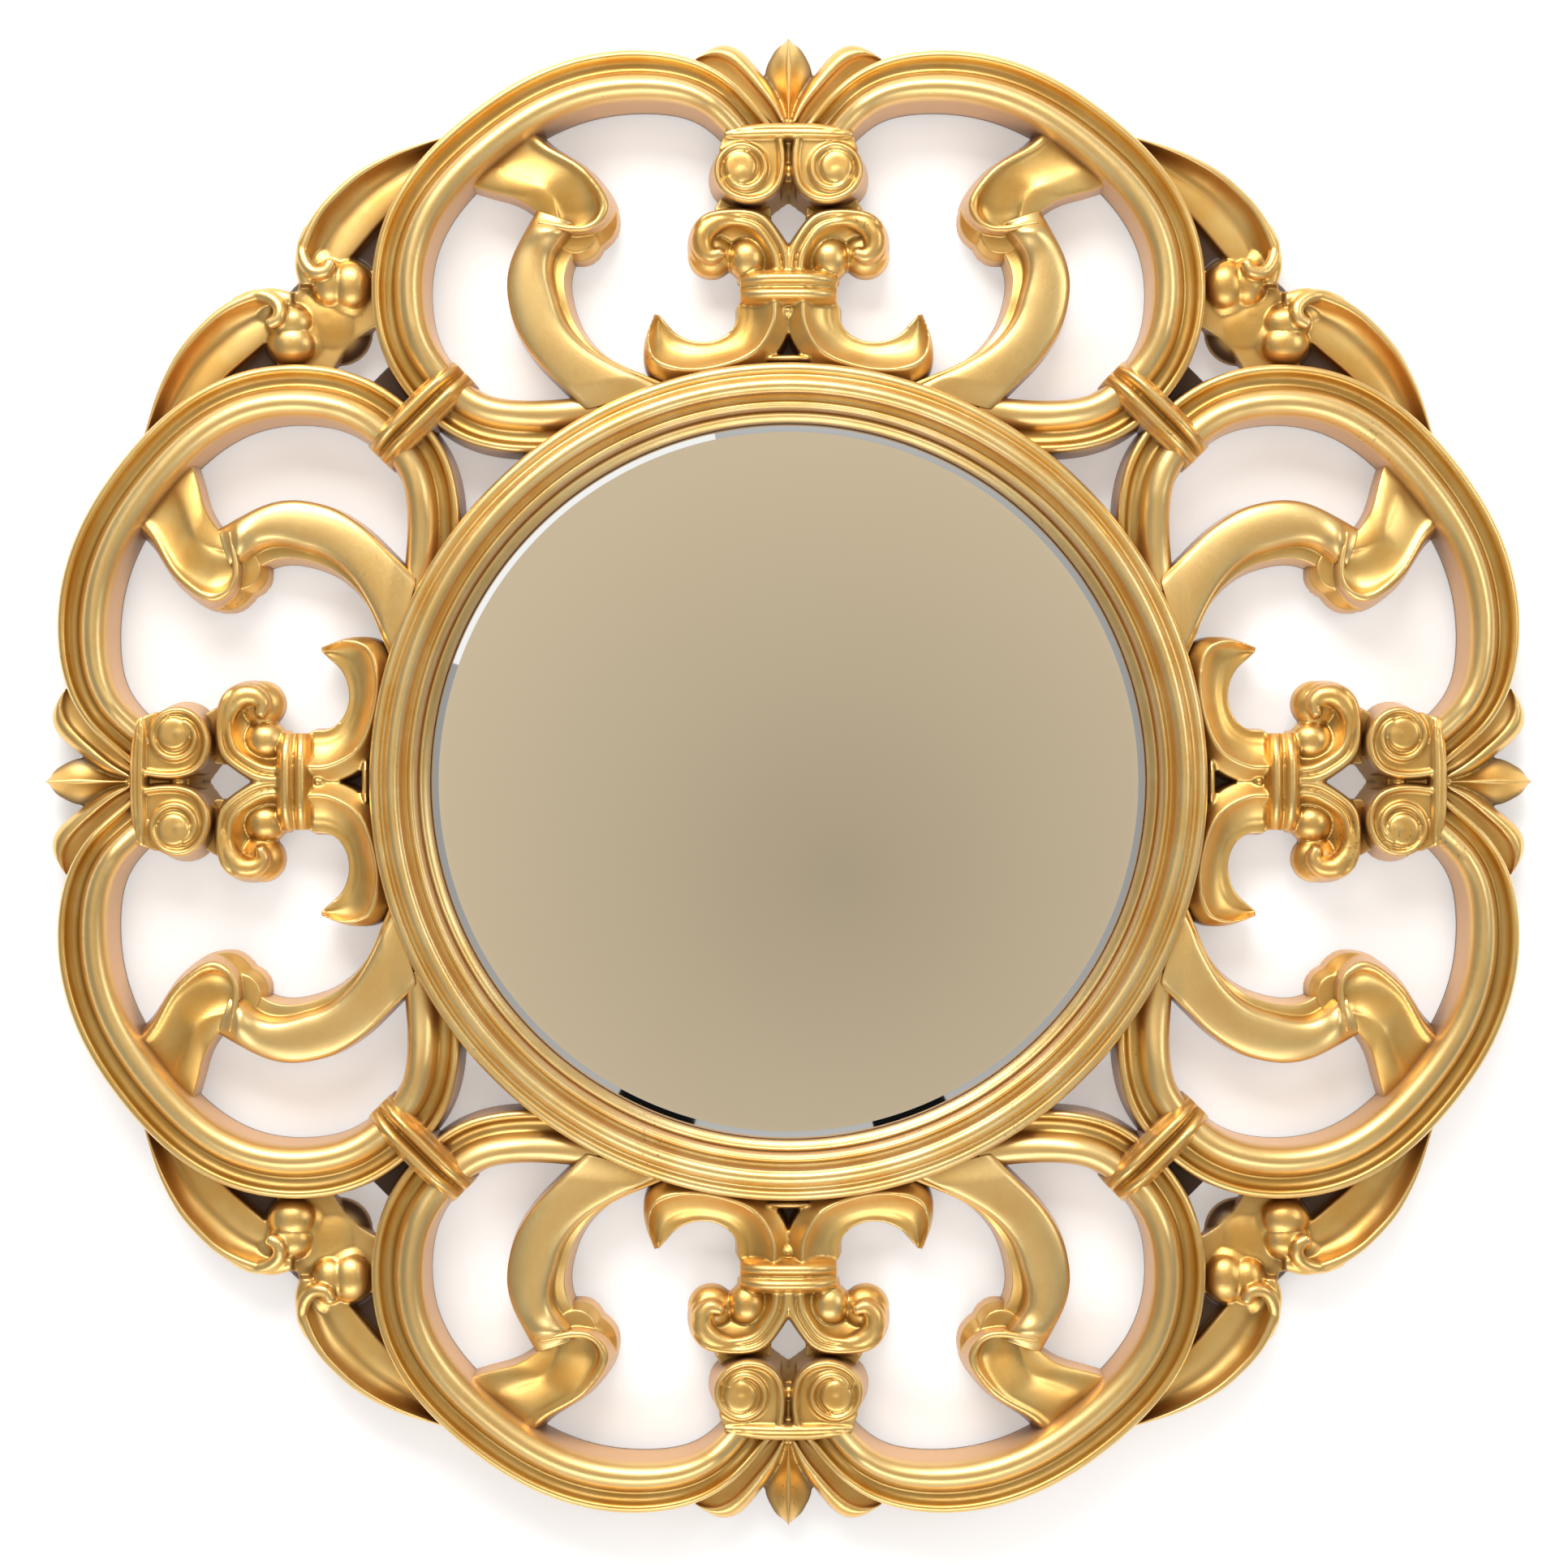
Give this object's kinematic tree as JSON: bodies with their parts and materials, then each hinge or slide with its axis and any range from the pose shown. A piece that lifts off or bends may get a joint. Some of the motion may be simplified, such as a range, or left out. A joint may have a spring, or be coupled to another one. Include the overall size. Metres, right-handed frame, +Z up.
{
  "type": "wall mirror",
  "caption": "Round domed wall mirror in a turned, gilded ring with a pierced surround of carved scrolls and leaves, hung by hinged strap rings on its back.",
  "frame": {"origin": "centre of the backing board's back face, which is flush with the back of the frame", "axes": "-Y out of the wall towards the viewer, +Y into the wall, +Z up the wall, +X to the viewer's right"},
  "size_m": [0.9, 0.0456, 0.9],
  "materials": {
    "gilded_carving": "gilded, satin, slightly rubbed at the edges",
    "gilded_ring": "gilded, satin",
    "silvered_glass": "polished, silvered behind",
    "hardboard": "plain brown board",
    "zinc_plate": "bright zinc plate"
  },
  "bodies": {
    "frame": {"frame_ring": "gilded_ring", "mirror_glass": "silvered_glass", "backing_board": "hardboard", "c_scroll_1": "gilded_carving", "c_scroll_2": "gilded_carving", "c_scroll_3": "gilded_carving", "c_scroll_4": "gilded_carving", "c_scroll_5": "gilded_carving", "c_scroll_6": "gilded_carving", "c_scroll_7": "gilded_carving", "c_scroll_8": "gilded_carving", "hook_leaf_1": "gilded_carving", "hook_leaf_2": "gilded_carving", "hook_leaf_3": "gilded_carving", "hook_leaf_4": "gilded_carving", "hook_leaf_5": "gilded_carving", "hook_leaf_6": "gilded_carving", "hook_leaf_7": "gilded_carving", "hook_leaf_8": "gilded_carving", "inner_scroll_1": "gilded_carving", "inner_scroll_2": "gilded_carving", "inner_scroll_3": "gilded_carving", "inner_scroll_4": "gilded_carving", "inner_scroll_5": "gilded_carving", "inner_scroll_6": "gilded_carving", "inner_scroll_7": "gilded_carving", "inner_scroll_8": "gilded_carving", "crest_1": "gilded_carving", "crest_2": "gilded_carving", "crest_3": "gilded_carving", "crest_4": "gilded_carving", "volute_cap_1": "gilded_carving", "volute_cap_2": "gilded_carving", "volute_cap_3": "gilded_carving", "volute_cap_4": "gilded_carving", "fleuron_1": "gilded_carving", "fleuron_2": "gilded_carving", "fleuron_3": "gilded_carving", "fleuron_4": "gilded_carving", "diagonal_tie_1": "gilded_carving", "diagonal_tie_2": "gilded_carving", "diagonal_tie_3": "gilded_carving", "diagonal_tie_4": "gilded_carving", "back_scroll_1": "gilded_carving", "back_scroll_2": "gilded_carving", "back_scroll_3": "gilded_carving", "back_scroll_4": "gilded_carving", "board_screw_1": "zinc_plate", "board_screw_2": "zinc_plate", "board_screw_3": "zinc_plate", "board_screw_4": "zinc_plate", "hanger_plate_right": "zinc_plate", "hanger_plate_left": "zinc_plate", "hanger_screw_right_1": "zinc_plate", "hanger_screw_right_2": "zinc_plate", "hanger_screw_left_1": "zinc_plate", "hanger_screw_left_2": "zinc_plate"},
    "ring_right": {"hanger_ring_right": "zinc_plate"},
    "ring_left": {"hanger_ring_left": "zinc_plate"}
  },
  "joints": [
    {"name": "ring_right_swing", "type": "hinge", "parent": "frame", "child": "ring_right", "pos_m": [0.21105, 0.0034, 0.12185], "axis": [-0.866, 0, -0.5], "range_deg": [0, 180]},
    {"name": "ring_left_swing", "type": "hinge", "parent": "frame", "child": "ring_left", "pos_m": [-0.21105, 0.0034, 0.12185], "axis": [-0.866, 0, 0.5], "range_deg": [0, 180]}
  ]
}
